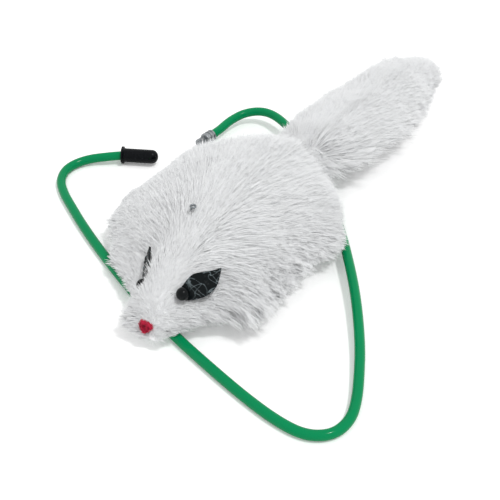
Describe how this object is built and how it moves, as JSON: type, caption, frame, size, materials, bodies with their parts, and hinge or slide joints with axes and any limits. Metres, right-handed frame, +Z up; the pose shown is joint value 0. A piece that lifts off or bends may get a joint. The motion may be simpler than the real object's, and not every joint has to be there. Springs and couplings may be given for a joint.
{
  "type": "fur toy mouse on a cord",
  "caption": "Fluffy white fur toy mouse with leather ears, bead eyes and a brush tail, tied to a soft green playing cord with an end cap.",
  "frame": {"origin": "under the middle of the mouse's own box (cord, ferrule and end cap left out), on the surface it lies on", "axes": "+Z up, -Y to the nose, +Y to the tail tip, +X to the mouse's left"},
  "size_m": [0.1772, 0.2367, 0.038],
  "materials": {
    "fur": "long soft rabbit-like pile, white with a cool shade in the depths",
    "felt": "plain off-white felt",
    "nose_felt": "crimson felt",
    "ear_leather": "thin black leather, slightly creased, low sheen",
    "hide": "undyed leather, matt",
    "bead": "polished black",
    "capsule": "as moulded",
    "steel": "drawn wire and thin turned parts, dull",
    "cord": "soft glossy green plastic",
    "cap": "dipped black, glossy"
  },
  "bodies": {
    "mouse": {"shell_base": "capsule", "shell_top": "capsule", "rattle_tube": "capsule", "belly_patch": "felt", "body_fur": "fur", "head_fur": "fur", "nose": "nose_felt", "left_eye": "bead", "right_eye": "bead", "left_eye_pin": "steel", "right_eye_pin": "steel", "anchor_wire": "steel", "ferrule": "steel", "cord": "cord", "end_cap": "cap", "tail_tack": "steel"},
    "tail_base": {"tail_tab": "hide"},
    "tail": {"tail_strip": "hide", "tail_fur": "fur"},
    "left_ear": {"left_ear": "ear_leather"},
    "right_ear": {"right_ear": "ear_leather"},
    "link": {"link_ring": "steel"},
    "rattle": {"rattle_balls": "steel"}
  },
  "joints": [
    {"name": "tail_swing", "type": "hinge", "parent": "mouse", "child": "tail_base", "pos_m": [0.00638, -0.003, 0.0138], "axis": [0, 0, 1], "range_deg": [-35, 15]},
    {"name": "tail_lift", "type": "hinge", "parent": "tail_base", "child": "tail", "pos_m": [0.00638, 0.004, 0.0138], "axis": [1, 0, 0], "range_deg": [0, 75]},
    {"name": "left_ear_turn", "type": "hinge", "parent": "mouse", "child": "left_ear", "pos_m": [0.01578, -0.1001, 0.0215], "axis": [0.43, -0.6581, 0.6181], "range_deg": [-20, 20]},
    {"name": "right_ear_turn", "type": "hinge", "parent": "mouse", "child": "right_ear", "pos_m": [-0.00202, -0.0999, 0.0176], "axis": [-0.791, -0.561, 0.244], "range_deg": [-20, 20]},
    {"name": "link_turn", "type": "hinge", "parent": "mouse", "child": "link", "pos_m": [-0.0425, 0.00382, 0.004], "axis": [0.5074, -0.8617, 0], "range_deg": [-35, 35]},
    {"name": "rattle_slide", "type": "slide", "parent": "mouse", "child": "rattle", "axis": [0, 1, 0], "range_m": [-0.0032, 0.0032]}
  ]
}
